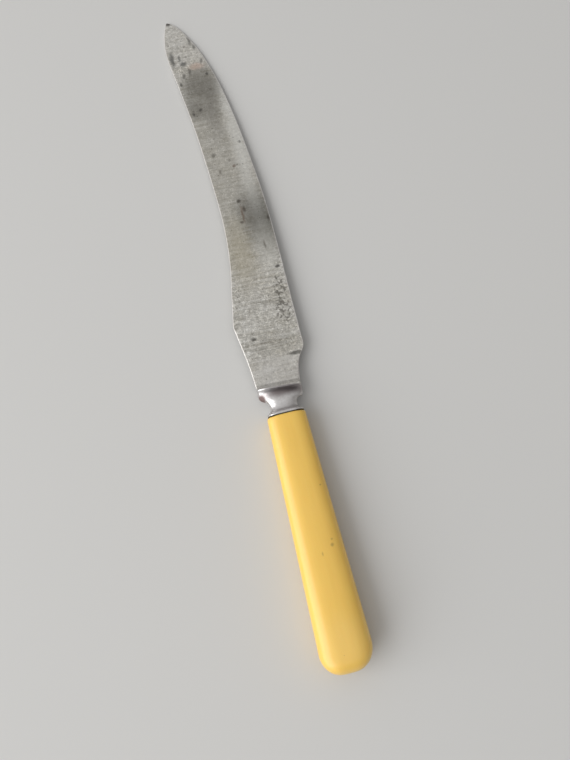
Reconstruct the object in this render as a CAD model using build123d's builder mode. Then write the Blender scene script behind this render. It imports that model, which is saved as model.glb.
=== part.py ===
from build123d import *
from math import asin, cos, sin
import os

# A cutler's bread knife, lying on its side on a flat surface. It is made of four separate pieces:
# a carbon-steel blade welded to the stub of an iron forging (stub, shoulder, neck, foot and tang),
# a moulded handle with a blind hole, and the dark cement that holds the tang in that hole.
#
# Frame: +X points from butt to tip, +Y to the back of the blade, +Z up. The origin lies on the
# surface that the knife rests on, under the middle of its outline.
#
# Lengths along the knife are counted from the seam between handle and bolster, + to the tip.
# Widths are counted from the middle line of the handle, + to the back of the blade.

# ---- Driving dimensions, mm ----
blade_reach = 254.4  # seam to tip
handle_length = 126.2
handle_width_front = 20.3
handle_width_butt = 26.6  # sides produced to the very end
handle_thickness_front = 13.2
butt_corner_radius_back = 10.4  # in plan, on the side of the blade's back
butt_corner_radius_edge = 11.4  # in plan, on the side of the cutting edge
handle_edge_radius = 4.8  # along the long edges
handle_front_ease = 1.0

back_crown = 17.0  # highest point of the back, near the tip
edge_belly = -18.7  # lowest point of the cutting edge
belly_at = 100.0

back_thickness_root = 2.6
back_thickness_tip = 1.1
low_thickness_root = 2.2  # stub's edge side, before it is ground
low_thickness_heel = 1.3
low_thickness_tip = 0.8
edge_thickness = 0.36
wedge_spare = 2.0  # the ground wedge stands this far past the outline
weld_at = 31.4  # iron stub ends and blade steel begins
weld_slant = 4.0  # degrees

seam_gap = 0.5  # thickness of the cement skin at the seam
foot_width = 19.6
foot_thickness = 12.6
foot_length = 1.7
foot_corner_radius = 4.5
foot_edge_ease = 0.6
neck_width = 14.3
neck_thickness = 8.0
shoulder_width = 23.6
shoulder_thickness = 10.8
shoulder_corner_radius = 1.6
shoulder_middle = 0.2  # the shoulder sits this far towards the back
shoulder_slant = -5.0  # degrees off square across the knife, its back side forward
shoulder_back = 13.4  # where it reaches its full thickness
shoulder_front = 14.8
step_front = 16.4
step_thickness = 4.6

tang_length = 96.0
tang_size_root = 5.6
tang_size_end = 2.8
first_barb_at = 22.0
barb_pitch = 11.0
barb_length = 2.4
barb_depth = 0.5
barb_count = 6
hole_depth = 102.0
hole_radius_mouth = 4.2
hole_radius_deep = 3.4
hole_step_at = 48.0
drill_point_length = 2.0
drill_point_radius = 0.2
cement_set_back = 0.3  # skin's edge, in from the edge of the foot

# ---- Frame of the knife ----
# The handle thickens towards the butt, so with its broad side flat on the table the blade droops
# until the tip just touches.
seam_height = handle_thickness_front / 2
droop = asin((seam_height - back_thickness_tip / 2) / blade_reach)
middle_x = (blade_reach - handle_length) / 2
middle_y = (back_crown + edge_belly) / 2
knife = Plane(
    origin=(-middle_x * cos(droop), -middle_y, seam_height),
    x_dir=(cos(droop), 0, -sin(droop)),
    z_dir=(sin(droop), 0, cos(droop)),
)


def across(x, turn=0.0):
    """Plane square across the knife at x, turned about its upright axis. X is to the back, Y up."""
    square = Plane(
        origin=knife.from_local_coords(Vector(x, 0, 0)),
        x_dir=knife.y_dir,
        z_dir=knife.x_dir,
    )
    return square.rotated((0, turn, 0))


# ---- Outline of blade and stub, seen from the side of the knife ----
with BuildPart() as ground_plate:
    with BuildSketch(knife):
        with BuildLine():
            back_of_stub = Spline((11.0, 11.4), (25.0, 12.4), (41.0, 14.4), (49.0, 15.6), (52.4, 16.0))
            back = Spline(
                back_of_stub @ 1,
                (57.0, 15.4),
                (73.0, 12.45),
                (91.0, 9.5),
                (117.0, 8.05),
                (149.0, 9.25),
                (181.0, 11.5),
                (213.0, 15.15),
                (232.0, back_crown),
                (245.0, 15.6),
                (252.8, 13.2),
            )
            point = ThreePointArc(back @ 1, (blade_reach, 12.0), (253.7, 10.5))
            edge = Spline(
                point @ 1,
                (248.6, 5.4),
                (233.0, -2.2),
                (209.0, -9.0),
                (177.0, -14.05),
                (145.0, -17.0),
                (119.0, -18.4),
                (belly_at, edge_belly),
                (61.0, -18.4),
                (37.6, -18.3),
            )
            heel = ThreePointArc(edge @ 1, (35.0, -18.1), (33.2, -17.4))
            choil = Spline(heel @ 1, (30.6, -15.6), (28.2, -14.3), (21.0, -12.25), (11.0, -11.1))
            Line(choil @ 1, back_of_stub @ 0)
        make_face()
    extrude(amount=back_thickness_root, both=True)

    # Both sides are ground flat, from the thick back to the thin edge and from root to tip. The
    # wedge stands past the outline, so that only its two sides cut. Each row gives the place along
    # the knife, the outline's low and high sides there, and the thickness at the back and low down.
    for x, low, high, back_thickness, low_thickness in [
        (9.0, -13.0, 12.0, back_thickness_root, low_thickness_root),
        (24.0, -13.0, 12.4, back_thickness_root, low_thickness_heel),
        (37.0, -18.3, 13.8, back_thickness_root, edge_thickness),
        (89.0, edge_belly, 9.7, 2.2, edge_thickness),
        (145.0, -17.0, 9.1, 1.85, edge_thickness),
        (193.0, -11.8, 12.8, 1.55, edge_thickness),
        (225.0, -4.7, 16.6, 1.35, edge_thickness),
        (245.0, 3.4, 15.6, 1.2, edge_thickness),
        (257.0, 10.0, 13.0, back_thickness_tip, low_thickness_tip),
    ]:
        steepness = (back_thickness - low_thickness) / (high - low)
        thick = (back_thickness + steepness * wedge_spare) / 2
        thin = low_thickness / 2
        with BuildSketch(across(x)):
            with BuildLine():
                Polyline(
                    (low - wedge_spare, -thin),
                    (low - wedge_spare, thin),
                    (low, thin),
                    (high + wedge_spare, thick),
                    (high + wedge_spare, -thick),
                    (low, -thin),
                    close=True,
                )
            make_face()
    loft(ruled=True, mode=Mode.INTERSECT)

weld = across(weld_at, weld_slant)

# ---- Blade: the steel in front of the weld ----
with BuildPart() as blade:
    add(ground_plate.part)
    split(bisect_by=weld, keep=Keep.TOP)
blade.part.label = "blade"

# ---- Bolster and tang: one iron forging, from the weld to the barbed end inside the handle ----
with BuildPart() as bolster_and_tang:
    # foot that meets the handle
    with BuildSketch(across(seam_gap)):
        RectangleRounded(foot_width, foot_thickness, foot_corner_radius)
    extrude(amount=foot_length)
    fillet(faces().sort_by(Axis(knife.origin, knife.x_dir))[-1].edges(), radius=foot_edge_ease)

    # Neck, waisted between foot and shoulder, and the shoulder that it flares into. Each row gives
    # the place along the knife, the section, and its share of the shoulder's slant and shift.
    for x, width, thickness, corner, share in [
        (seam_gap + foot_length - 0.4, foot_width - 2.4, foot_thickness - 1.6, 4.0, 0),
        (3.4, neck_width + 0.8, neck_thickness + 0.9, 3.6, 0),
        (5.2, neck_width, neck_thickness, 3.5, 0.2),
        (6.9, neck_width + 0.9, neck_thickness + 0.1, 3.4, 0.5),
        (8.4, neck_width + 3.4, neck_thickness + 0.5, 3.2, 0.8),
        (9.8, shoulder_width - 1.6, neck_thickness + 1.0, 2.8, 1),
        (11.6, shoulder_width - 0.2, neck_thickness + 1.8, 2.2, 1),
        (shoulder_back, shoulder_width, shoulder_thickness, shoulder_corner_radius, 1),
    ]:
        with BuildSketch(across(x, share * shoulder_slant)):
            with Locations((share * shoulder_middle, 0)):
                RectangleRounded(width, thickness, corner)
    loft()
    with BuildSketch(across(shoulder_back, shoulder_slant)):
        with Locations((shoulder_middle, 0)):
            RectangleRounded(shoulder_width, shoulder_thickness, shoulder_corner_radius)
    extrude(amount=shoulder_front - shoulder_back)

    # low step between the shoulder and the ground face of the blade
    with BuildSketch(across(shoulder_back, shoulder_slant)):
        with Locations((shoulder_middle, 0)):
            Rectangle(shoulder_width, step_thickness)
    extrude(amount=step_front - shoulder_back)

    # stub that carries the blade, with the same ground sides
    add(ground_plate.part.split(weld, keep=Keep.BOTTOM))

    # tang, drawn out square and tapered, with barbs cut up along its two narrow sides
    with BuildSketch(across(seam_gap + foot_length / 2)):
        Rectangle(tang_size_root, tang_size_root)
    with BuildSketch(across(-tang_length)):
        Rectangle(tang_size_end, tang_size_end)
    loft()
    for barb in range(barb_count):
        root = -first_barb_at - barb * barb_pitch
        half_size = (tang_size_root + (tang_size_end - tang_size_root) * -root / tang_length) / 2
        with BuildSketch(knife):
            with BuildLine():
                Polyline(
                    (root, half_size - barb_depth),
                    (root, half_size + barb_depth),
                    (root - barb_length, half_size + barb_depth),
                    close=True,
                )
            make_face()
            mirror(about=Plane.XZ)
        extrude(amount=tang_size_root, both=True, mode=Mode.SUBTRACT)
bolster_and_tang.part.label = "bolster_and_tang"

# ---- Hole for the tang, drilled in two sizes with a drill point at its end ----
with BuildPart() as drilled_hole:
    with BuildSketch(across(0)):
        Circle(hole_radius_mouth)
    extrude(amount=-hole_step_at)
    with BuildSketch(across(-hole_step_at)):
        Circle(hole_radius_deep)
    extrude(amount=-(hole_depth - hole_step_at))
    with BuildSketch(across(-hole_depth)):
        Circle(hole_radius_deep)
    with BuildSketch(across(-hole_depth - drill_point_length)):
        Circle(drill_point_radius)
    loft()

# ---- Cement: fills the hole round the tang, and stands as a thin skin under the foot ----
with BuildPart() as cement:
    add(drilled_hole.part)
    with BuildSketch(across(0)):
        RectangleRounded(
            foot_width - 2 * cement_set_back,
            foot_thickness - 2 * cement_set_back,
            foot_corner_radius - cement_set_back,
        )
    extrude(amount=seam_gap)
    add(bolster_and_tang.part, mode=Mode.SUBTRACT)
cement.part.label = "cement"

# ---- Handle: tapered in width and thickness, its underside flat on the table ----
half_thickness_front = seam_height / cos(droop)
half_thickness_butt = (seam_height + handle_length * sin(droop)) / cos(droop)
knife_upright = Plane(origin=knife.origin, x_dir=knife.x_dir, z_dir=-knife.y_dir)
with BuildPart() as handle:
    with BuildSketch(knife):
        with BuildLine():
            Polyline(
                (0, handle_width_front / 2),
                (0, -handle_width_front / 2),
                (-handle_length, -handle_width_butt / 2),
                (-handle_length, handle_width_butt / 2),
                close=True,
            )
        make_face()
        fillet(vertices().group_by(Axis.X)[0].sort_by(Axis.Y)[-1], radius=butt_corner_radius_back)
        fillet(vertices().group_by(Axis.X)[0].sort_by(Axis.Y)[0], radius=butt_corner_radius_edge)
    extrude(amount=handle_width_butt, both=True)
    with BuildSketch(knife_upright):
        with BuildLine():
            Polyline(
                (0, half_thickness_front),
                (0, -half_thickness_front),
                (-handle_length, -half_thickness_butt),
                (-handle_length, half_thickness_butt),
                close=True,
            )
        make_face()
    extrude(amount=handle_width_butt, both=True, mode=Mode.INTERSECT)
    front = faces().sort_by(Axis(knife.origin, knife.x_dir))[-1]
    broad_sides = faces().sort_by(Axis.Z)
    long_edges = (broad_sides[0].edges() + broad_sides[-1].edges()) - front.edges()
    fillet(long_edges, radius=handle_edge_radius)
    front = faces().sort_by(Axis(knife.origin, knife.x_dir))[-1]
    fillet(front.edges(), radius=handle_front_ease)
    add(drilled_hole.part, mode=Mode.SUBTRACT)
handle.part.label = "handle"

# ---- One STEP file for each piece ----
os.makedirs("parts", exist_ok=True)
export_step(blade.part, "parts/blade.step")
export_step(bolster_and_tang.part, "parts/bolster_and_tang.step")
export_step(cement.part, "parts/cement.step")
export_step(handle.part, "parts/handle.step")
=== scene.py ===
from math import asin, cos, pi, radians, sin, sqrt

import bpy
import numpy as np
from mathutils import Matrix, Vector, noise


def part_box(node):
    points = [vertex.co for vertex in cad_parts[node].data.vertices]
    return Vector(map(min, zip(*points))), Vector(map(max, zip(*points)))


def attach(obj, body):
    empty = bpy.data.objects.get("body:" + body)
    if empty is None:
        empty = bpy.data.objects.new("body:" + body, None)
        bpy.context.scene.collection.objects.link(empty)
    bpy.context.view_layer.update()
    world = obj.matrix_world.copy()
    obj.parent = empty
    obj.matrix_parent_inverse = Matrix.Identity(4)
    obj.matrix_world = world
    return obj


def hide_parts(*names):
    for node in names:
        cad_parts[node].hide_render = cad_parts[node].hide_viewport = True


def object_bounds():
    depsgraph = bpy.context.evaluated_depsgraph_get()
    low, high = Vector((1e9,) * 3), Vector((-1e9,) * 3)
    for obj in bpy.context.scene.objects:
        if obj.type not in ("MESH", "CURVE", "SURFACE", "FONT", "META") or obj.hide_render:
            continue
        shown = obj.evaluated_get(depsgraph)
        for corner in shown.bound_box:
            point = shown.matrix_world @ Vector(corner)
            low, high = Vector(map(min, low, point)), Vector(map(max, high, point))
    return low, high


# A cutler's bread knife, lying on its side. The steel blade, the iron bolster with its tang and the
# moulded handle are each skinned afresh over their solids; the cement keeps its own solid.

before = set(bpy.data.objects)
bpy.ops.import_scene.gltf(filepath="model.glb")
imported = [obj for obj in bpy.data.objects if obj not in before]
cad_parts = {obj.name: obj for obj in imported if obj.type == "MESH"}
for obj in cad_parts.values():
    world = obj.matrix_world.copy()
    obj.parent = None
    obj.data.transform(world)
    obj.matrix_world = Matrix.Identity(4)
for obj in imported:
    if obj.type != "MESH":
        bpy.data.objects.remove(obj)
cad_low, cad_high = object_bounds()

# ---- Sizes in mm, in the knife's own frame ----
# x runs along the knife from the seam between handle and bolster, + to the tip.
# y runs across it from the middle line, + to the back of the blade. z is square to the blade.
MM = 0.001
HANDLE_LENGTH = 126.2
BLADE_REACH = 254.4
SEAM_HEIGHT = 6.6
TIP_HALF_THICKNESS = 0.55
FOOT_START = 0.30
STUB_START = 14.75
SHOULDER_SLANT = radians(5)
WELD_AT = 31.4
WELD_AT_BACK = WELD_AT - 0.9
WELD_AT_EDGE = WELD_AT + 1.15
WELD_SLANT = radians(4)
# value of the from_rim fact on points that aren't near a rim of the blade plate
FAR_FROM_RIM = 9.0
DROOP = asin((SEAM_HEIGHT - TIP_HALF_THICKNESS) / BLADE_REACH)

seam = Vector((
    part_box("blade")[1].x - BLADE_REACH * MM * cos(DROOP),
    (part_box("handle")[0].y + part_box("handle")[1].y) / 2,
    cad_low.z + SEAM_HEIGHT * MM,
))
KNIFE = Matrix.Translation(seam) @ Matrix.Rotation(DROOP, 4, "Y")


# ---- Lines and rings ----
def smooth_line(points):
    """Smooth curve through given points, as a function of the share of its length, 0 to 1."""
    points = np.array(points, float)
    gaps = np.hypot(*np.diff(points, axis=0).T)
    knots = np.append(0, np.cumsum(gaps))
    count = len(points)
    system, right = np.eye(count), np.zeros((count, 2))
    slopes = np.diff(points, axis=0) / gaps[:, None]
    for i in range(1, count - 1):
        system[i, i - 1 : i + 2] = gaps[i - 1], 2 * (gaps[i - 1] + gaps[i]), gaps[i]
        right[i] = 6 * (slopes[i] - slopes[i - 1])
    bend = np.linalg.solve(system, right)

    def at(share):
        length = min(max(share, 0.0), 1.0) * knots[-1]
        i = min(int(np.searchsorted(knots, length, side="right")) - 1, count - 2)
        near, far, gap = length - knots[i], knots[i + 1] - length, gaps[i]
        return (
            (bend[i] * far**3 + bend[i + 1] * near**3) / (6 * gap)
            + (points[i] / gap - bend[i] * gap / 6) * far
            + (points[i + 1] / gap - bend[i + 1] * gap / 6) * near
        )

    return at


def share_at(line, x):
    """Share of a line's length at which it reaches x."""
    low, high = 0.0, 1.0
    for _ in range(40):
        middle = (low + high) / 2
        low, high = (middle, high) if line(middle)[0] < x else (low, middle)
    return low


def step(value, low, high):
    """0 below low, 1 above high, and smooth between."""
    t = np.clip((value - low) / (high - low), 0, 1)
    return t * t * (3 - 2 * t)


def ripple(x, y, seed):
    """Smooth unevenness between -1 and 1."""
    return noise.noise(Vector((x, y, seed)))


# Each ring has a top row from edge side to back side, the back side, the bottom row, the edge side.
ROW = 41
SIDE = 9
ROW_SHARES = 0.5 - 0.5 * np.cos(pi * np.arange(ROW) / (ROW - 1))


def ring_from_rows(top, bottom):
    """Ring of points from a top row and a bottom row, both from edge side to back side."""
    shares = np.arange(1, SIDE + 1)[:, None] / (SIDE + 1)
    back_side = top[-1] + (bottom[-1] - top[-1]) * shares
    edge_side = bottom[0] + (top[0] - bottom[0]) * shares
    return np.vstack([top, back_side, bottom[::-1], edge_side])


def oval_ring(x, half_width, half_thickness, fullness, slant=0.0, shift=0.0):
    """Rounded ring across the knife. Fullness 2 is an ellipse, and more is squarer."""
    quarter = pi / 4
    angles = np.concatenate([
        np.linspace(3 * quarter, quarter, ROW),
        np.linspace(quarter, -quarter, SIDE + 2)[1:-1],
        np.linspace(-quarter, -3 * quarter, ROW),
        np.linspace(-3 * quarter, -5 * quarter, SIDE + 2)[1:-1],
    ])
    power = 2 / fullness
    across = shift + half_width * np.sign(np.cos(angles)) * np.abs(np.cos(angles)) ** power
    up = half_thickness * np.sign(np.sin(angles)) * np.abs(np.sin(angles)) ** power
    return np.column_stack([x + across * np.sin(slant), across * np.cos(slant), up])


def skin(name, rings, facts=None, sharp=radians(40)):
    """Closed piece from a stack of rings, in the knife's frame. Facts are point values to keep."""
    rings = [np.asarray(r, float) for r in rings]
    size = len(rings[0])
    faces = [tuple(range(size))]
    for i in range(len(rings) - 1):
        for j in range(size):
            k = (j + 1) % size
            faces.append((i * size + j, (i + 1) * size + j, (i + 1) * size + k, i * size + k))
    faces.append(tuple(reversed(range((len(rings) - 1) * size, len(rings) * size))))
    mesh = bpy.data.meshes.new(name)
    mesh.from_pydata((np.vstack(rings) * MM).tolist(), [], faces)
    mesh.validate()
    for fact, values in (facts or {}).items():
        kept = mesh.attributes.new(fact, "FLOAT", "POINT")
        kept.data.foreach_set("value", np.concatenate(values))
    mesh.shade_smooth()
    mesh.set_sharp_from_angle(angle=sharp)
    mesh.transform(KNIFE)
    piece = bpy.data.objects.new(name, mesh)
    bpy.context.scene.collection.objects.link(piece)
    return piece


# ---- Blade outline: back and edge, both from the shoulder to the tip ----
back_line = smooth_line([
    (15.0, 11.7), (25.0, 12.4), (33.0, 13.2), (41.0, 14.35), (49.0, 15.55), (51.2, 15.9),
    (52.4, 16.0), (54.0, 15.85), (57.0, 15.3), (65.0, 13.9), (73.0, 12.42), (81.0, 10.95),
    (91.0, 9.5), (103.0, 8.45), (117.0, 8.05), (133.0, 8.48), (149.0, 9.25), (165.0, 10.18),
    (181.0, 11.45), (197.0, 13.2), (213.0, 15.1), (223.0, 16.35), (232.0, 16.95), (241.0, 16.3),
    (247.0, 15.1), (251.0, 13.9), (253.4, 13.05), (254.2, 12.6), (254.4, 12.0),
])
edge_line = smooth_line([
    (14.0, -11.4), (18.0, -11.8), (22.0, -12.4), (25.6, -13.2), (28.2, -14.25), (29.6, -15.0),
    (31.4, -16.25), (33.0, -17.35), (34.2, -17.95), (35.6, -18.25), (38.0, -18.32), (44.0, -18.3),
    (61.0, -18.4), (81.0, -18.6), (101.0, -18.7), (119.0, -18.4), (133.0, -17.8), (145.0, -16.95),
    (161.0, -15.6), (177.0, -14.02), (193.0, -11.85), (209.0, -9.0), (221.0, -5.95),
    (233.0, -2.15), (242.0, 2.05), (248.8, 5.75), (252.2, 8.6), (253.9, 10.8), (254.4, 12.0),
])


def back_thickness(x):
    stations = [9, 37, 89, 145, 193, 225, 245, 257]
    return np.interp(x, stations, [2.6, 2.6, 2.2, 1.85, 1.55, 1.35, 1.2, 1.1])


def edge_thickness(x):
    return np.interp(x, [9, 25, 35, 41, 257], [2.2, 1.35, 0.45, 0.32, 0.32])


# How the sides of the plate run from edge to back, and how its two rims are rounded, in mm.
SIDE_SWELL = 0.85
NARROW_HALF, NARROW_TAPER = 0.2, 0.12
BACK_ROUND_MOST, BACK_ROUND_SHARE = 0.42, 0.33
EDGE_BEVEL_SHARE = 0.4
CALM_RIM = 1.5


def plate_ring(back, edge):
    """Ring across the blade from its edge to its back, with both ground sides."""
    points = edge + (back - edge) * ROW_SHARES[:, None]
    width = np.hypot(*(back - edge))
    from_edge = ROW_SHARES * width
    from_back = width - from_edge
    thick = back_thickness(points[:, 0])
    thin = edge_thickness(points[:, 0])
    half = (thin + (thick - thin) * ROW_SHARES**SIDE_SWELL) / 2
    half = np.minimum(half, NARROW_HALF + width * NARROW_TAPER)
    # rounded back, and an edge rubbed to a narrow second bevel
    back_round = np.minimum(BACK_ROUND_MOST, BACK_ROUND_SHARE * thick)
    dip = np.clip(back_round - from_back, 0, None)
    half -= back_round - np.sqrt(back_round**2 - dip**2)
    edge_round = EDGE_BEVEL_SHARE * thin
    dip = np.clip(edge_round - from_edge, 0, None)
    half -= edge_round - np.sqrt(edge_round**2 - dip**2)
    rows = []
    for side in (1, -1):
        relief = np.array([ground_relief(x, y, side) for x, y in points])
        inward = np.clip(np.minimum(from_edge, from_back) / CALM_RIM, 0, 1)
        rows.append(np.column_stack([points, side * (half + relief * inward)]))
    return ring_from_rows(*rows)


def ground_relief(x, y, side):
    """Height in mm of the ground side above a plain wedge: waves, the plunge, the heel's scoop."""
    long_waves = 0.022 * ripple(x / 16, y / 11, 3.1 * side)
    short_waves = 0.008 * ripple(x / 4, y / 9, 7.7 * side)
    weld_x = WELD_AT - 1.0 - y * np.tan(WELD_SLANT)
    plunge = 0.07 * (1 - step(x, weld_x - 0.6, weld_x + 0.8)) * step(x, 10, 20)
    scoop_x = 29.9 + 0.36 * max(-9.5 - y, 0)
    scoop = -0.22 * np.exp(-(((x - scoop_x) / 0.9) ** 2)) * step(-y, 8.0, 12.5)
    return long_waves + short_waves + plunge + scoop


def spread(start, end, count, crowd=1.0):
    """Shares from start to end, closer together towards the end when crowd is more than 1."""
    return start + (end - start) * (1 - (1 - np.linspace(0, 1, count)) ** crowd)


def distances_from_rim(rings, backs, edges):
    """Distance in mm of each point from the nearer rim of the plate."""
    distances = []
    for ring, back, edge in zip(rings, backs, edges):
        from_back, from_edge = (np.hypot(*(ring[:, :2] - rim).T) for rim in (back, edge))
        distances.append(np.minimum(from_back, from_edge))
    return distances


def outline_pairs(back_shares, edge_shares):
    """Matching points of back and edge, with the edge's small nicks and waves."""
    pairs = []
    for b, e in zip(back_shares, edge_shares):
        back, edge = back_line(b), edge_line(e)
        worn = 0.05 * ripple(edge[0] / 7, 0.5, 2.0) + 0.035 * ripple(edge[0] / 1.6, 0.5, 5.0)
        pairs.append((back, edge + np.array([0, 0.04 + worn])))
    return pairs


def make_blade():
    """The steel in front of the weld, ground on both sides and tapering to the tip."""
    count, crowd_at_tip, tip_share = 190, 1.25, 0.9994
    pairs = outline_pairs(
        spread(share_at(back_line, WELD_AT_BACK), tip_share, count, crowd_at_tip),
        spread(share_at(edge_line, WELD_AT_EDGE), tip_share, count, crowd_at_tip),
    )
    rings = [plate_ring(back, edge) for back, edge in pairs]
    rims = distances_from_rim(rings, *zip(*pairs))
    return skin("blade_steel", rings, {"from_rim": rims})


def make_bolster():
    """Iron forging: barbed tang, foot, waisted neck, shoulder, step and the stub of the blade."""
    rings = []
    # tang, square and tapered, its two narrow sides notched into barbs
    tang_length, root_size, end_size = 96.0, 2.8, 1.4
    squareness = 7
    barb_length, barb_depth = 2.4, 0.5
    barbs = [22.0 + 11.0 * i for i in range(6)]

    def tang_half(x):
        return root_size + (end_size - root_size) * -x / tang_length

    rings.append(oval_ring(-tang_length, end_size - 0.3, end_size - 0.3, 6))
    rings.append(oval_ring(-tang_length + 0.5, end_size, end_size, squareness))
    for barb in reversed(barbs):
        for x, cut in ((-barb - barb_length, 0), (-barb - 0.01, barb_depth), (-barb, 0)):
            rings.append(oval_ring(x, tang_half(x) - cut, tang_half(x), squareness))
    rings.append(oval_ring(FOOT_START, root_size, root_size, squareness))
    # foot, neck and shoulder: place, half width, half thickness, fullness, share of slant, shift
    shoulder = [
        (FOOT_START, 9.25, 6.00, 3.6, 0, 0),
        (0.35, 9.50, 6.20, 3.6, 0, 0),
        (0.50, 9.64, 6.30, 3.6, 0, 0),
        (0.95, 9.60, 6.32, 3.6, 0, 0),
        (1.30, 9.30, 6.25, 3.5, 0, 0),
        (1.70, 8.80, 6.02, 3.4, 0, 0),
        (2.10, 8.30, 5.60, 3.2, 0, 0),
        (2.50, 7.90, 5.12, 3.0, 0, 0),
        (3.10, 7.50, 4.60, 2.8, 0, 0),
        (3.90, 7.22, 4.20, 2.6, 0, 0),
        (4.90, 7.12, 4.00, 2.5, 0.1, 0),
        (5.90, 7.20, 3.92, 2.5, 0.25, 0.02),
        (6.80, 7.50, 3.92, 2.5, 0.4, 0.06),
        (7.60, 8.00, 3.98, 2.5, 0.6, 0.10),
        (8.20, 8.65, 4.05, 2.6, 0.75, 0.14),
        (8.60, 9.50, 4.08, 2.4, 0.85, 0.17),
        (8.85, 10.30, 4.10, 2.25, 0.92, 0.18),
        (9.20, 10.90, 4.14, 2.2, 1, 0.20),
        (9.80, 11.35, 4.22, 2.2, 1, 0.20),
        (10.6, 11.60, 4.36, 2.25, 1, 0.20),
        (11.4, 11.74, 4.56, 2.35, 1, 0.20),
        (12.2, 11.80, 4.86, 2.5, 1, 0.20),
        (12.8, 11.82, 5.20, 2.7, 1, 0.20),
        (13.2, 11.82, 5.52, 2.9, 1, 0.20),
        (13.5, 11.82, 5.82, 3.1, 1, 0.20),
        (13.7, 11.82, 6.02, 3.3, 1, 0.20),
        (13.9, 11.82, 6.10, 3.4, 1, 0.20),
        (14.15, 11.80, 6.12, 3.5, 1, 0.20),
        (14.4, 11.76, 6.04, 3.5, 1, 0.20),
        (14.55, 11.72, 5.86, 3.5, 1, 0.20),
        (14.65, 11.66, 5.60, 3.5, 1, 0.20),
        (14.70, 11.60, 5.00, 3.6, 1, 0.20),
    ]
    for x, half_width, half_thickness, fullness, lean, shift in shoulder:
        slant = SHOULDER_SLANT * lean
        rings.append(oval_ring(x, half_width, half_thickness, fullness, slant, shift))
    # low step, and then the stub out to the weld
    rims = [np.full(len(ring), FAR_FROM_RIM) for ring in rings]
    count = 26
    edge_begins = 14.2
    back_shares = spread(0.0, share_at(back_line, WELD_AT_BACK), count)
    edge_shares = spread(share_at(edge_line, edge_begins), share_at(edge_line, WELD_AT_EDGE), count)
    pairs = outline_pairs(back_shares, edge_shares)
    stub = [plate_ring(back, edge) for back, edge in pairs]
    step_height = 1.0
    for rise, ahead in ((1.0, -0.35), (1.0, 0.9), (0.85, 1.3), (0.4, 1.55), (0.1, 1.8)):
        raised = stub[0].copy()
        raised[:, 0] += ahead
        raised[:, 2] += np.sign(raised[:, 2]) * step_height * rise
        rings.append(raised)
        rims.append(np.full(len(raised), FAR_FROM_RIM))
    # the first rings of the stub lie under the step
    under_step = 3
    rings += stub[under_step:]
    rims += distances_from_rim(stub, *zip(*pairs))[under_step:]
    return skin("iron_bolster", rings, {"from_rim": rims})


def make_handle():
    """Moulded handle: tapered both ways, crowned, its butt rounded, drilled for the tang."""
    half_front, half_butt = 10.12, 13.28
    corner_back, corner_edge = 10.4, 11.4
    # the butt seen from the side: how far its rounding reaches, and the two powers of its curve
    butt_rounding, butt_power_along, butt_power_up = 7.5, 2.6, 2.2
    ease = 1.1
    fullness = 2.9

    def side_at(x, corner):
        """Half width on one side. The corner is the butt's radius there, seen from above."""
        centre_x = corner - HANDLE_LENGTH
        plain = half_front + (half_butt - half_front) * -max(x, centre_x) / HANDLE_LENGTH
        return plain if x >= centre_x else plain - corner + sqrt(corner**2 - (centre_x - x) ** 2)

    def section(x, shrink=0.0):
        thick = (SEAM_HEIGHT - x * sin(DROOP)) / cos(DROOP)
        rise = 1 - min((x + HANDLE_LENGTH) / butt_rounding, 1)
        thick *= (1 - rise**butt_power_along) ** (1 / butt_power_up)
        back, edge = side_at(x, corner_back), side_at(x, corner_edge)
        half_width, shift = (back + edge) / 2, (back - edge) / 2
        return oval_ring(x, half_width - shrink, thick - shrink, fullness, 0, shift)

    rings = []
    butt_rings, middle_rings, ease_rings = 40, 60, 7
    for i in range(1, butt_rings + 1):
        angle = pi / 2 * i / butt_rings
        rings.append(section(-HANDLE_LENGTH + corner_edge * (1 - cos(angle))))
    for x in np.linspace(-HANDLE_LENGTH + corner_edge, -ease, middle_rings)[1:]:
        rings.append(section(x))
    for i in range(1, ease_rings + 1):
        angle = pi / 2 * i / ease_rings
        rings.append(section(-ease + ease * sin(angle) * 0.999, ease * (1 - cos(angle))))
    # mouth of the hole, its two bores and the drill point
    wide, narrow = 4.2, 3.4
    hole = [
        (-0.001, 4.5), (-0.3, wide), (-48.0, wide),
        (-48.6, narrow), (-102.0, narrow), (-104.0, 0.2),
    ]
    for x, radius in hole:
        rings.append(oval_ring(x, radius, radius, 2))
    return skin("ivory_handle", rings)


# ---- Shader nodes ----
def join(tree, value, socket):
    """Joins a socket to an input, or sets the input's own value."""
    if isinstance(value, bpy.types.NodeSocket):
        tree.links.new(value, socket)
    elif value is not None:
        socket.default_value = value


def add(tree, kind, *values, **settings):
    """New node of a kind, with its settings and its first inputs."""
    made = tree.nodes.new("ShaderNode" + kind)
    for name, value in settings.items():
        setattr(made, name, value)
    for value, socket in zip(values, made.inputs):
        join(tree, value, socket)
    return made


def calc(tree, operation, *values):
    return add(tree, "Math", *values, operation=operation).outputs[0]


def vector_calc(tree, operation, *values):
    return add(tree, "VectorMath", *values, operation=operation).outputs[0]


def ramp(tree, value, low, high, at_low=0.0, at_high=1.0):
    """Smooth change from at_low to at_high while the value goes from low to high."""
    return add(
        tree, "MapRange", value, low, high, at_low, at_high, interpolation_type="SMOOTHSTEP"
    ).outputs[0]


def mix_colour(tree, share, under, over):
    made = add(tree, "Mix", share, data_type="RGBA")
    join(tree, under, made.inputs[6])
    join(tree, over, made.inputs[7])
    return made.outputs[2]


def mix_value(tree, share, under, over):
    made = add(tree, "Mix", share, data_type="FLOAT")
    join(tree, under, made.inputs[2])
    join(tree, over, made.inputs[3])
    return made.outputs[0]


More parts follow.
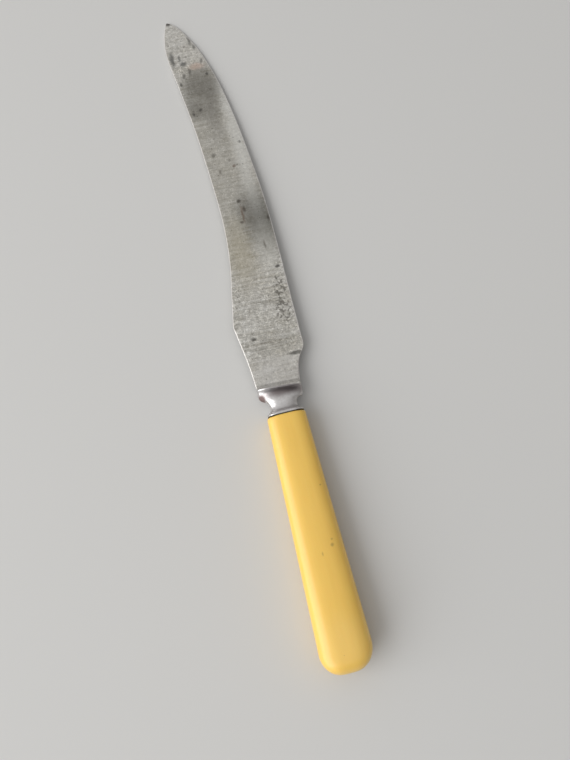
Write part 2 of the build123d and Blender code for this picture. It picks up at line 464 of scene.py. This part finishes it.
def tint(tree, colour, mask, share, tone):
    """Lays a tone over a colour where the mask is, at a share of the mask's strength."""
    return mix_colour(tree, calc(tree, "MULTIPLY", mask, share), colour, tone)


def clouds(tree, place, scale=1.0, detail=2.0, roughness=0.5):
    """Noise node. Its first output is a cloudy value and its second a cloudy colour."""
    made = add(tree, "TexNoise", place)
    made.inputs["Scale"].default_value = scale
    made.inputs["Detail"].default_value = detail
    made.inputs["Roughness"].default_value = roughness
    return made.outputs


def paint(*values):
    """Linear colour from the eight-bit red, green and blue that a paint chart gives."""
    linear = [((v / 255 + 0.055) / 1.055) ** 2.4 if v > 10 else v / 3294 for v in values]
    return (*linear, 1.0)


def effect(name, gives, **takes):
    """New shader group with one output. It takes the place in mm, and inputs with their values."""
    group = bpy.data.node_groups.new(name, "ShaderNodeTree")
    group.interface.new_socket("Place", in_out="INPUT", socket_type="NodeSocketVector")
    for socket, value in takes.items():
        kind = "NodeSocketVector" if isinstance(value, tuple) else "NodeSocketFloat"
        made = group.interface.new_socket(socket, in_out="INPUT", socket_type=kind)
        made.default_value = value
    group.interface.new_socket(gives, in_out="OUTPUT", socket_type="NodeSocketFloat")
    inside = group.nodes.new("NodeGroupInput")
    outside = group.nodes.new("NodeGroupOutput")
    return group, inside.outputs, outside.inputs[gives]


def use(tree, group, place, **values):
    """Places a group in a material, with its own values for the inputs."""
    made = add(tree, "Group", place, node_tree=group)
    for name, value in values.items():
        join(tree, value, made.inputs[name])
    return made.outputs[0]


def over_size(tree, place, x_size, y_size):
    """Place divided by one size along the knife and another across it."""
    sizes = add(tree, "CombineXYZ", x_size, y_size, y_size).outputs[0]
    return vector_calc(tree, "DIVIDE", place, sizes)


def make_mottle():
    """Cloudy unevenness, 0 to 1."""
    tree, takes, cloud = effect("mottle", "Cloud", Length=10.0, Width=10.0, Contrast=0.2)
    place = over_size(tree, takes["Place"], takes["Length"], takes["Width"])
    uneven = clouds(tree, place, detail=5.0, roughness=0.62)[0]
    low = calc(tree, "SUBTRACT", 0.5, takes["Contrast"])
    high = calc(tree, "ADD", 0.5, takes["Contrast"])
    join(tree, ramp(tree, uneven, low, high), cloud)
    return tree


def make_grind_marks():
    """Fine parallel lines left by a wheel, 0 to 1. The lines are long in one direction."""
    tree, takes, lines = effect("grind marks", "Lines", Length=0.3, Width=12.0)
    place = over_size(tree, takes["Place"], takes["Length"], takes["Width"])
    fine = clouds(tree, place, detail=3.0, roughness=0.7)[0]
    coarse_length = calc(tree, "MULTIPLY", takes["Length"], 4.0)
    coarse_width = calc(tree, "MULTIPLY", takes["Width"], 1.7)
    coarse = clouds(tree, over_size(tree, takes["Place"], coarse_length, coarse_width))[0]
    both = calc(tree, "MULTIPLY_ADD", coarse, 0.6, calc(tree, "MULTIPLY", fine, 0.7))
    join(tree, ramp(tree, both, 0.48, 0.82), lines)
    return tree


def make_pits():
    """Scattered round pits. Spacing is in mm, amount is the share of places that hold one."""
    tree, takes, mask = effect("pits", "Mask", Spacing=3.0, Size=0.3, Amount=0.3)
    shake = clouds(tree, takes["Place"], scale=1.1)[1]
    ragged = vector_calc(tree, "MULTIPLY_ADD", shake, (0.9, 0.9, 0.9), takes["Place"])
    cells = add(tree, "TexVoronoi", over_size(tree, ragged, takes["Spacing"], takes["Spacing"]))
    cells.inputs["Scale"].default_value = 1.0
    chance = add(tree, "SeparateColor", cells.outputs["Color"])
    size = calc(tree, "MULTIPLY", takes["Size"], calc(tree, "ADD", chance.outputs[1], 0.25))
    round_pit = ramp(tree, cells.outputs["Distance"], size, calc(tree, "MULTIPLY", size, 0.45))
    chosen = calc(tree, "LESS_THAN", chance.outputs[0], takes["Amount"])
    join(tree, calc(tree, "MULTIPLY", round_pit, chosen), mask)
    return tree


def make_stain():
    """One patch with a soft, ragged rim, 1 in its middle. Centre and reach are in mm."""
    tree, takes, mask = effect(
        "stain", "Mask", Centre=(0, 0, 0), Reach=(5, 5, 50), Softness=0.5, Ragged=1.0
    )
    shake = clouds(tree, takes["Place"], scale=0.45, detail=4.0)[1]
    centred = vector_calc(tree, "SUBTRACT", shake, (0.5, 0.5, 0.5))
    pushed = add(tree, "VectorMath", centred, operation="SCALE")
    join(tree, takes["Ragged"], pushed.inputs["Scale"])
    place = vector_calc(tree, "ADD", takes["Place"], pushed.outputs[0])
    offset = vector_calc(tree, "SUBTRACT", place, takes["Centre"])
    offset = vector_calc(tree, "DIVIDE", offset, takes["Reach"])
    distance = add(tree, "VectorMath", offset, operation="LENGTH").outputs["Value"]
    inner = calc(tree, "SUBTRACT", 1.0, takes["Softness"])
    outer = calc(tree, "ADD", 1.0, takes["Softness"])
    join(tree, ramp(tree, distance, outer, inner), mask)
    return tree


def make_creeping_rust():
    """Branching, worm-like corrosion marks."""
    tree, takes, mask = effect("creeping rust", "Mask", Size=2.5, Width=0.05)
    place = over_size(tree, takes["Place"], takes["Size"], takes["Size"])
    wander = clouds(tree, place, detail=2.5)[0]
    off_middle = calc(tree, "ABSOLUTE", calc(tree, "SUBTRACT", wander, 0.5))
    worm = ramp(tree, off_middle, takes["Width"], calc(tree, "MULTIPLY", takes["Width"], 0.2))
    broken = clouds(tree, takes["Place"], scale=0.55)[0]
    join(tree, calc(tree, "MULTIPLY", worm, ramp(tree, broken, 0.42, 0.56)), mask)
    return tree


def make_scratches():
    """Few long hairline scratches."""
    tree, takes, mask = effect("scratches", "Mask", Length=40.0, Width=3.0, Fineness=0.01)
    place = over_size(tree, takes["Place"], takes["Length"], takes["Width"])
    line = clouds(tree, place, detail=1.0)[0]
    off_middle = calc(tree, "ABSOLUTE", calc(tree, "SUBTRACT", line, 0.5))
    hair = ramp(tree, off_middle, takes["Fineness"], 0.0)
    broken = clouds(tree, takes["Place"], scale=0.12)[0]
    join(tree, calc(tree, "MULTIPLY", hair, ramp(tree, broken, 0.5, 0.62)), mask)
    return tree


def make_rim_wear_and_highlight():
    """Brighter rim: a painted highlight along the rims, and metal rubbed clean there by handling
    and sharpening.
    """
    tree, takes, mask = effect("rim wear and highlight", "Mask", Distance=FAR_FROM_RIM, Width=0.6)
    uneven = clouds(tree, takes["Place"], scale=0.35, detail=3.0)[0]
    width = calc(tree, "MULTIPLY", takes["Width"], calc(tree, "ADD", uneven, 0.5))
    join(tree, ramp(tree, takes["Distance"], width, calc(tree, "MULTIPLY", width, 0.3)), mask)
    return tree


MOTTLE = make_mottle()
GRIND_MARKS = make_grind_marks()
PITS = make_pits()
STAIN = make_stain()
CREEPING_RUST = make_creeping_rust()
SCRATCHES = make_scratches()
RIM_WEAR_AND_HIGHLIGHT = make_rim_wear_and_highlight()


def new_finish(name):
    """Empty material, its Principled shader, and the place on the knife in mm."""
    material = bpy.data.materials.new(name)
    material.use_nodes = True
    tree = material.node_tree
    tree.nodes.clear()
    shader = add(tree, "BsdfPrincipled")
    output = add(tree, "OutputMaterial")
    tree.links.new(shader.outputs[0], output.inputs["Surface"])
    where = add(tree, "TexCoord").outputs["Object"]
    from_seam = vector_calc(tree, "SUBTRACT", where, tuple(seam))
    turned = add(tree, "VectorRotate", from_seam, rotation_type="Y_AXIS")
    turned.inputs["Angle"].default_value = -DROOP
    place = add(tree, "VectorMath", turned.outputs[0], operation="SCALE")
    place.inputs["Scale"].default_value = 1 / MM
    return material, tree, shader, place.outputs[0]


def bump(tree, shader, height, depth):
    """Small relief, depth in mm for a height of 1."""
    made = add(tree, "Bump")
    made.inputs["Strength"].default_value = 1.0
    made.inputs["Distance"].default_value = depth * MM
    join(tree, height, made.inputs["Height"])
    join(tree, made.outputs[0], shader.inputs["Normal"])


# Stains are lists of centre, reach, softness, ragged rim, tone and strength.
# These go through to both sides of the blade.
BLADE_STAINS = [
    # broad darker patches
    ((146, 0), (56, 22), 0.5, 4.0, paint(158, 154, 143), 0.42),
    ((110, -14), (19, 10), 0.75, 3.0, paint(88, 87, 81), 0.72),
    ((119, -6), (8, 6), 0.7, 3.0, paint(112, 109, 102), 0.35),
    ((207.5, -3), (11, 13), 0.35, 3.5, paint(104, 100, 92), 0.42),
    ((199, 2), (17, 11), 0.45, 4.0, paint(108, 105, 97), 0.50),
    ((189, 8), (6, 5), 0.6, 3.0, paint(108, 105, 99), 0.35),
    ((94, 3), (18, 7), 0.7, 6.0, paint(176, 166, 140), 0.40),
    ((182, -2), (14, 4), 0.7, 5.0, paint(120, 116, 110), 0.35),
    # cleaner metal
    ((20, 0), (12, 16), 0.5, 3.0, paint(186, 183, 180), 0.42),
    ((172, -12), (44, 4), 0.8, 3.0, paint(240, 240, 236), 0.42),
    ((237, 6), (17, 12), 0.4, 4.0, paint(226, 224, 219), 0.20),
    ((92, -12), (14, 6), 0.7, 4.0, paint(236, 234, 226), 0.30),
]
# These are on the upper side only.
BLADE_MARKS_AND_HEEL_SHADE = [
    # a pinkish spot near the tip
    ((219.6, 1.0), (2.2, 4.2), 0.6, 1.5, paint(216, 184, 166), 0.40),
    ((227, 14.2), (5.0, 1.3), 0.6, 2.5, paint(84, 84, 82), 0.75),
    ((222.8, 8.0), (1.6, 1.7), 0.6, 2.5, paint(84, 84, 82), 0.75),
    ((227, 10.0), (2.2, 1.0), 0.6, 2.5, paint(92, 92, 90), 0.70),
    ((214, 9.5), (1.8, 0.8), 0.6, 2.5, paint(92, 90, 84), 0.65),
    ((216.5, 5.6), (2.2, 1.0), 0.6, 2.5, paint(88, 84, 78), 0.65),
    ((233.5, -0.4), (2.0, 1.0), 0.6, 2.0, paint(88, 88, 84), 0.60),
    ((222.5, -2.6), (1.4, 0.7), 0.6, 2.0, paint(96, 92, 88), 0.60),
    ((240, 1.6), (4.4, 1.0), 0.6, 1.8, paint(88, 88, 84), 0.70),
    ((253.6, 11.6), (1.5, 1.6), 0.5, 1.0, paint(74, 72, 68), 0.80),
    # dark crescent in the heel's scoop: painted shade, partly dirt
    ((31.3, -13.0), (1.0, 3.6), 0.5, 1.0, paint(78, 78, 74), 0.75),
    ((43.3, 6.8), (0.9, 1.5), 0.6, 1.8, paint(62, 60, 54), 0.80),
    ((81.8, -15.5), (0.8, 1.3), 0.6, 1.5, paint(58, 54, 48), 0.80),
    ((112, -17.4), (1.6, 0.8), 0.6, 1.5, paint(70, 66, 60), 0.70),
    ((125.4, -3.5), (0.9, 1.2), 0.6, 1.5, paint(66, 60, 54), 0.75),
    ((116.5, -4.0), (4.6, 0.7), 0.7, 2.4, paint(112, 92, 76), 0.65),
    ((112, -2.4), (0.8, 1.0), 0.6, 1.5, paint(76, 66, 56), 0.65),
    ((119.8, -5.4), (1.6, 0.8), 0.6, 1.2, paint(76, 66, 56), 0.70),
    ((96, -11.6), (2.2, 0.6), 0.7, 2.0, paint(96, 90, 80), 0.60),
    ((148, -6.0), (0.9, 0.9), 0.6, 1.0, paint(100, 76, 62), 0.60),
    ((157, 4.0), (1.4, 0.9), 0.6, 2.0, paint(92, 88, 80), 0.60),
    ((146, 2.4), (1.4, 0.8), 0.6, 2.0, paint(104, 100, 92), 0.55),
    ((163, -12.6), (0.9, 0.7), 0.6, 1.0, paint(76, 74, 70), 0.60),
    ((186.5, 9.4), (1.0, 0.8), 0.6, 1.5, paint(66, 64, 60), 0.70),
    ((188.8, 4.8), (1.0, 0.9), 0.6, 1.5, paint(62, 60, 56), 0.70),
    ((208.6, 12.4), (1.3, 0.7), 0.6, 1.0, paint(60, 58, 54), 0.70),
    ((213, -4.0), (1.1, 0.8), 0.6, 1.2, paint(52, 50, 46), 0.70),
]


def stain_mask(tree, place, centre, reach, softness, ragged):
    """One stain at a place along and across the knife. It goes through from side to side."""
    through = 50
    return use(
        tree, STAIN, place,
        Centre=(*centre, 0), Reach=(*reach, through), Softness=softness, Ragged=ragged,
    )


def stain_over(tree, colour, place, stains):
    """Lays a list of stains over a colour."""
    for centre, reach, softness, ragged, tone, strength in stains:
        mask = stain_mask(tree, place, centre, reach, softness, ragged)
        colour = tint(tree, colour, mask, strength, tone)
    return colour


def make_blade_steel():
    """Old carbon steel: grey-brown patina, wheel marks, file strokes, stains, pits and rust."""
    material, tree, shader, place = new_finish("old carbon steel")
    cloud = use(tree, MOTTLE, place, Length=26.0, Width=14.0, Contrast=0.22)
    patches = use(tree, MOTTLE, place, Length=3.6, Width=2.6, Contrast=0.10)
    grain = use(tree, MOTTLE, place, Length=1.3, Width=1.7, Contrast=0.10)
    flecks = use(tree, MOTTLE, place, Length=0.6, Width=0.8, Contrast=0.10)
    lines = use(tree, GRIND_MARKS, place, Length=0.34, Width=13.0)
    along, across, height = add(tree, "SeparateXYZ", place).outputs
    # the iron stub and the part by the tip are cleaner than the middle
    past_stub = ramp(tree, along, 26.0, 36.0, 0.72, 1.0)
    towards_tip = ramp(tree, along, 80.0, 140.0, 1.0, 0.92)
    dirt = calc(tree, "MULTIPLY", past_stub, towards_tip)
    colour = mix_colour(tree, cloud, paint(237, 235, 229), paint(226, 221, 208))
    for mask, share, tone in (
        (patches, 0.62, paint(178, 173, 162)),
        (grain, 0.62, paint(146, 142, 132)),
        (flecks, 0.60, paint(120, 116, 106)),
    ):
        colour = tint(tree, colour, mask, calc(tree, "MULTIPLY", dirt, share), tone)
    colour = tint(tree, colour, lines, 0.36, paint(250, 249, 246))
    colour = stain_over(tree, colour, place, BLADE_STAINS)
    marked_and_shaded = stain_over(tree, colour, place, BLADE_MARKS_AND_HEEL_SHADE)
    colour = mix_colour(tree, ramp(tree, height, -0.1, 0.1), colour, marked_and_shaded)
    # painted shade and dirt in the corner in front of the step, which leans a little
    corner_at, corner_lean = 17.2, -0.035
    straight = calc(tree, "MULTIPLY_ADD", across, corner_lean, along)
    from_corner = calc(tree, "ABSOLUTE", calc(tree, "SUBTRACT", straight, corner_at))
    corner = ramp(tree, from_corner, 1.0, 0.1, 0.0, 0.4)
    colour = mix_colour(tree, corner, colour, paint(106, 102, 98))
    # strokes of a coarse file in front of the stub
    filed = stain_mask(tree, place, (39, -3), (5, 11), 0.5, 3.0)
    strokes = use(tree, GRIND_MARKS, place, Length=0.75, Width=4.5)
    filed = calc(tree, "MULTIPLY", filed, strokes)
    colour = tint(tree, colour, filed, 0.42, paint(112, 108, 100))
    # rust: a creeping patch by the heel, and pits that thicken towards the tip
    near_patch = stain_mask(tree, place, (56, -12.6), (7, 4.6), 0.3, 4.0)
    far_patch = stain_mask(tree, place, (69, -13.2), (8, 3.2), 0.3, 4.0)
    heel_patch = calc(tree, "MAXIMUM", near_patch, far_patch)
    worms = use(tree, CREEPING_RUST, place, Size=4.0, Width=0.14)
    worms = calc(tree, "MULTIPLY", worms, heel_patch)
    amount = ramp(tree, along, 90.0, 225.0, 0.12, 0.50)
    pits = use(tree, PITS, place, Spacing=3.3, Size=0.27, Amount=amount)
    small_pits = use(tree, PITS, place, Spacing=1.5, Size=0.30, Amount=0.30)
    pits = calc(tree, "MULTIPLY", pits, 0.6)
    small_pits = calc(tree, "MULTIPLY", small_pits, 0.55)
    rust = calc(tree, "MAXIMUM", worms, calc(tree, "MAXIMUM", pits, small_pits))
    colour = tint(tree, colour, rust, 0.80, paint(84, 80, 72))
    distance = add(tree, "Attribute", attribute_name="from_rim").outputs["Fac"]
    rim = use(tree, RIM_WEAR_AND_HIGHLIGHT, place, Distance=distance, Width=0.55)
    # brighter rims: painted highlight along them, partly wear
    colour = tint(tree, colour, rim, 0.70, paint(226, 222, 219))
    join(tree, colour, shader.inputs["Base Color"])
    roughness = mix_value(tree, patches, 0.38, 0.50)
    roughness = mix_value(tree, calc(tree, "MULTIPLY", lines, 0.4), roughness, 0.32)
    join(tree, mix_value(tree, rust, roughness, 0.8), shader.inputs["Roughness"])
    join(tree, mix_value(tree, rust, 0.66, 0.2), shader.inputs["Metallic"])
    relief = calc(tree, "MULTIPLY_ADD", lines, 0.35, calc(tree, "MULTIPLY", grain, -0.35))
    relief = calc(tree, "SUBTRACT", calc(tree, "SUBTRACT", relief, rust), filed)
    bump(tree, shader, relief, 0.03)
    return material


def make_bolster_iron():
    """Iron rubbed bright by the hand, darker in the hollow behind the shoulder's crest: tarnish
    there, with a painted dark reflection.
    """
    material, tree, shader, place = new_finish("rubbed iron")
    cloud = use(tree, MOTTLE, place, Length=5.0, Width=7.0, Contrast=0.25)
    grain = use(tree, MOTTLE, place, Length=0.7, Width=1.2, Contrast=0.3)
    # darker purplish hollow behind the crest: partly tarnish, partly painted dark reflection
    hollow = stain_mask(tree, place, (12.0, -2.0), (2.4, 11.0), 0.7, 1.2)
    colour = mix_colour(tree, cloud, paint(230, 228, 228), paint(208, 205, 203))
    colour = tint(tree, colour, grain, 0.2, paint(132, 126, 124))
    colour = tint(tree, colour, hollow, 0.75, paint(92, 76, 76))
    pits = use(tree, PITS, place, Spacing=1.8, Size=0.16, Amount=0.2)
    colour = tint(tree, colour, pits, 0.5, paint(66, 58, 54))
    # painted dark brown reflection on the end of the shoulder on the back side, duller and rougher
    # there too
    lobe_painted_reflection = stain_mask(tree, place, (10.0, 10.8), (2.5, 2.3), 0.35, 1.0)
    colour = tint(tree, colour, lobe_painted_reflection, 0.90, paint(100, 76, 72))
    join(tree, colour, shader.inputs["Base Color"])
    roughness = mix_value(tree, cloud, 0.26, 0.36)
    join(tree, mix_value(tree, lobe_painted_reflection, roughness, 0.62), shader.inputs["Roughness"])
    dull = calc(tree, "MAXIMUM", pits, lobe_painted_reflection)
    join(tree, mix_value(tree, dull, 0.95, 0.4), shader.inputs["Metallic"])
    marks = use(tree, GRIND_MARKS, place, Length=0.5, Width=8.0)
    bump(tree, shader, calc(tree, "SUBTRACT", calc(tree, "MULTIPLY", marks, 0.3), pits), 0.015)
    return material


HANDLE_SPECKS_AND_BUTT_LIGHT = [
    ((-71.2, -0.3), (0.9, 0.35), 0.7, 0.8, paint(160, 120, 56), 0.45),
    ((-68.2, -5.8), (0.8, 0.7), 0.7, 0.8, paint(150, 112, 54), 0.55),
    ((-65.5, -6.3), (0.5, 0.45), 0.7, 0.8, paint(160, 120, 56), 0.45),
    ((-39.2, -7.6), (0.4, 0.4), 0.7, 0.6, paint(140, 98, 48), 0.50),
    # lighter patch towards the butt: painted light
    ((-113.2, -1.0), (12, 9), 0.7, 4.0, paint(244, 206, 118), 0.4),
]


def make_ivory():
    """Imitation ivory: warm yellow, faint long grain, a few specks, rubbed to a soft gloss."""
    material, tree, shader, place = new_finish("imitation ivory")
    cloud = use(tree, MOTTLE, place, Length=45.0, Width=9.0, Contrast=0.25)
    grain = use(tree, MOTTLE, place, Length=30.0, Width=0.8, Contrast=0.28)
    colour = mix_colour(tree, cloud, paint(243, 199, 92), paint(237, 192, 86))
    colour = tint(tree, colour, grain, 0.22, paint(243, 205, 110))
    colour = stain_over(tree, colour, place, HANDLE_SPECKS_AND_BUTT_LIGHT)
    dirt = use(tree, PITS, place, Spacing=6.5, Size=0.06, Amount=0.35)
    colour = tint(tree, colour, dirt, 0.5, paint(138, 98, 48))
    join(tree, colour, shader.inputs["Base Color"])
    join(tree, mix_value(tree, cloud, 0.33, 0.42), shader.inputs["Roughness"])
    shader.inputs["Coat Weight"].default_value = 0.32
    shader.inputs["Coat Roughness"].default_value = 0.16
    shader.inputs["Subsurface Weight"].default_value = 0.15
    shader.inputs["Subsurface Radius"].default_value = (1.0, 0.6, 0.25)
    shader.inputs["Subsurface Scale"].default_value = 0.002
    hairs = use(tree, SCRATCHES, place, Length=38.0, Width=2.2, Fineness=0.006)
    height = calc(tree, "MULTIPLY_ADD", grain, 0.25, calc(tree, "MULTIPLY", hairs, -0.6))
    bump(tree, shader, height, 0.012)
    return material


def make_cement_finish():
    """Dark resin and brick dust, crumbly where it shows."""
    material, tree, shader, place = new_finish("cutler's cement")
    grit = use(tree, MOTTLE, place, Length=0.5, Width=0.5, Contrast=0.2)
    colour = mix_colour(tree, grit, paint(14, 12, 10), paint(44, 34, 26))
    join(tree, colour, shader.inputs["Base Color"])
    join(tree, mix_value(tree, grit, 0.65, 0.9), shader.inputs["Roughness"])
    bump(tree, shader, grit, 0.08)
    return material


def make_floor_finish():
    """Plain pale paper."""
    material = bpy.data.materials.new("pale paper")
    material.use_nodes = True
    shader = material.node_tree.nodes["Principled BSDF"]
    shader.inputs["Base Color"].default_value = (0.62, 0.615, 0.60, 1)
    shader.inputs["Roughness"].default_value = 0.9
    return material


BLADE_STEEL = make_blade_steel()
BOLSTER_IRON = make_bolster_iron()


def show(piece, node, slot, *finishes):
    """Stands the piece for a CAD node, on the knife's one body, with its finishes. The slot name is
    not used.
    """
    for finish in finishes:
        piece.data.materials.append(finish)
    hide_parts(node)
    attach(piece, "root")
    return piece


show(make_blade(), "blade", "blade_steel", BLADE_STEEL)
bolster = show(make_bolster(), "bolster_and_tang", "forged_iron", BOLSTER_IRON, BLADE_STEEL)
show(make_handle(), "handle", "imitation_ivory", make_ivory())
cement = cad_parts["cement"]
cement.data.materials.clear()
cement.data.materials.append(make_cement_finish())

# the stub in front of the shoulder's slanted face has the blade's finish
IRON, STEEL = 0, 1
for face in bolster.data.polygons:
    from_seam = face.center - seam
    from_shoulder = from_seam.x - from_seam.y * sin(SHOULDER_SLANT) - STUB_START * MM
    face.material_index = STEEL if from_shoulder > 0 else IRON


# ---- Floor, light and camera, in metres, degrees and watts ----
FLOOR_REACH = 3.0
FLOOR_GAP = 0.00005
WINDOW_PLACE = (-0.40, 1.80, 1.00)
WINDOW_SIZE = 2.3
WINDOW_POWER = 44.0
WINDOW_SIDE = (-0.25, 0.85, 0.46)
WINDOW_WALL = (1.0, 1.0, 1.0, 1)
FAR_WALL = (0.44, 0.43, 0.42, 1)
BEHIND_HANDLE = (-0.80, -0.12, 0.58)
DARK_WALL = (0.05, 0.045, 0.045, 1)
STUDIO_STRENGTH = 0.76
CAMERA_LENS = 30.32
CAMERA_FROM_SEAM = Vector((-0.05645, 0.0146, 0.3318 - SEAM_HEIGHT * MM))
CAMERA_DOWN = 76.715
CAMERA_TURN = -103.92


def make_floor():
    mesh = bpy.data.meshes.new("floor")
    reach = FLOOR_REACH
    corners = [(-reach, -reach, 0), (reach, -reach, 0), (reach, reach, 0), (-reach, reach, 0)]
    mesh.from_pydata(corners, [], [(0, 1, 2, 3)])
    floor = bpy.data.objects.new("floor", mesh)
    bpy.context.scene.collection.objects.link(floor)
    floor.location.z = cad_low.z - FLOOR_GAP
    mesh.materials.append(make_floor_finish())


def make_window():
    """Square soft light, aimed at the middle of the knife."""
    data = bpy.data.lights.new("window", "AREA")
    data.size = WINDOW_SIZE
    data.energy = WINDOW_POWER
    light = bpy.data.objects.new("window", data)
    light.location = WINDOW_PLACE
    light.rotation_euler = (-Vector(WINDOW_PLACE)).to_track_quat("-Z", "Y").to_euler()
    bpy.context.scene.collection.objects.link(light)


def make_camera():
    """Held above the handle and looking steeply down along the knife."""
    data = bpy.data.cameras.new("camera")
    data.lens = CAMERA_LENS
    data.clip_start = 0.01
    camera = bpy.data.objects.new("camera", data)
    camera.location = seam + CAMERA_FROM_SEAM
    camera.rotation_euler = (radians(90 - CAMERA_DOWN), 0, radians(CAMERA_TURN))
    bpy.context.scene.collection.objects.link(camera)
    bpy.context.scene.camera = camera


def make_studio():
    """Surroundings: bright towards the window, dimmer away from it, dark behind the handle."""
    world = bpy.data.worlds.new("studio")
    world.use_nodes = True
    tree = world.node_tree
    towards = add(tree, "TexCoord").outputs["Generated"]
    to_window, to_behind = (
        add(tree, "VectorMath", towards, way, operation="DOT_PRODUCT").outputs["Value"]
        for way in (WINDOW_SIDE, BEHIND_HANDLE)
    )
    tone = mix_colour(tree, ramp(tree, to_window, -0.7, 0.8), FAR_WALL, WINDOW_WALL)
    tone = mix_colour(tree, ramp(tree, to_behind, 0.76, 0.95, 0.0, 0.88), tone, DARK_WALL)
    join(tree, tone, tree.nodes["Background"].inputs["Color"])
    tree.nodes["Background"].inputs["Strength"].default_value = STUDIO_STRENGTH
    bpy.context.scene.world = world


make_floor()
make_camera()
make_window()
make_studio()
bpy.context.scene.view_settings.view_transform = "Standard"
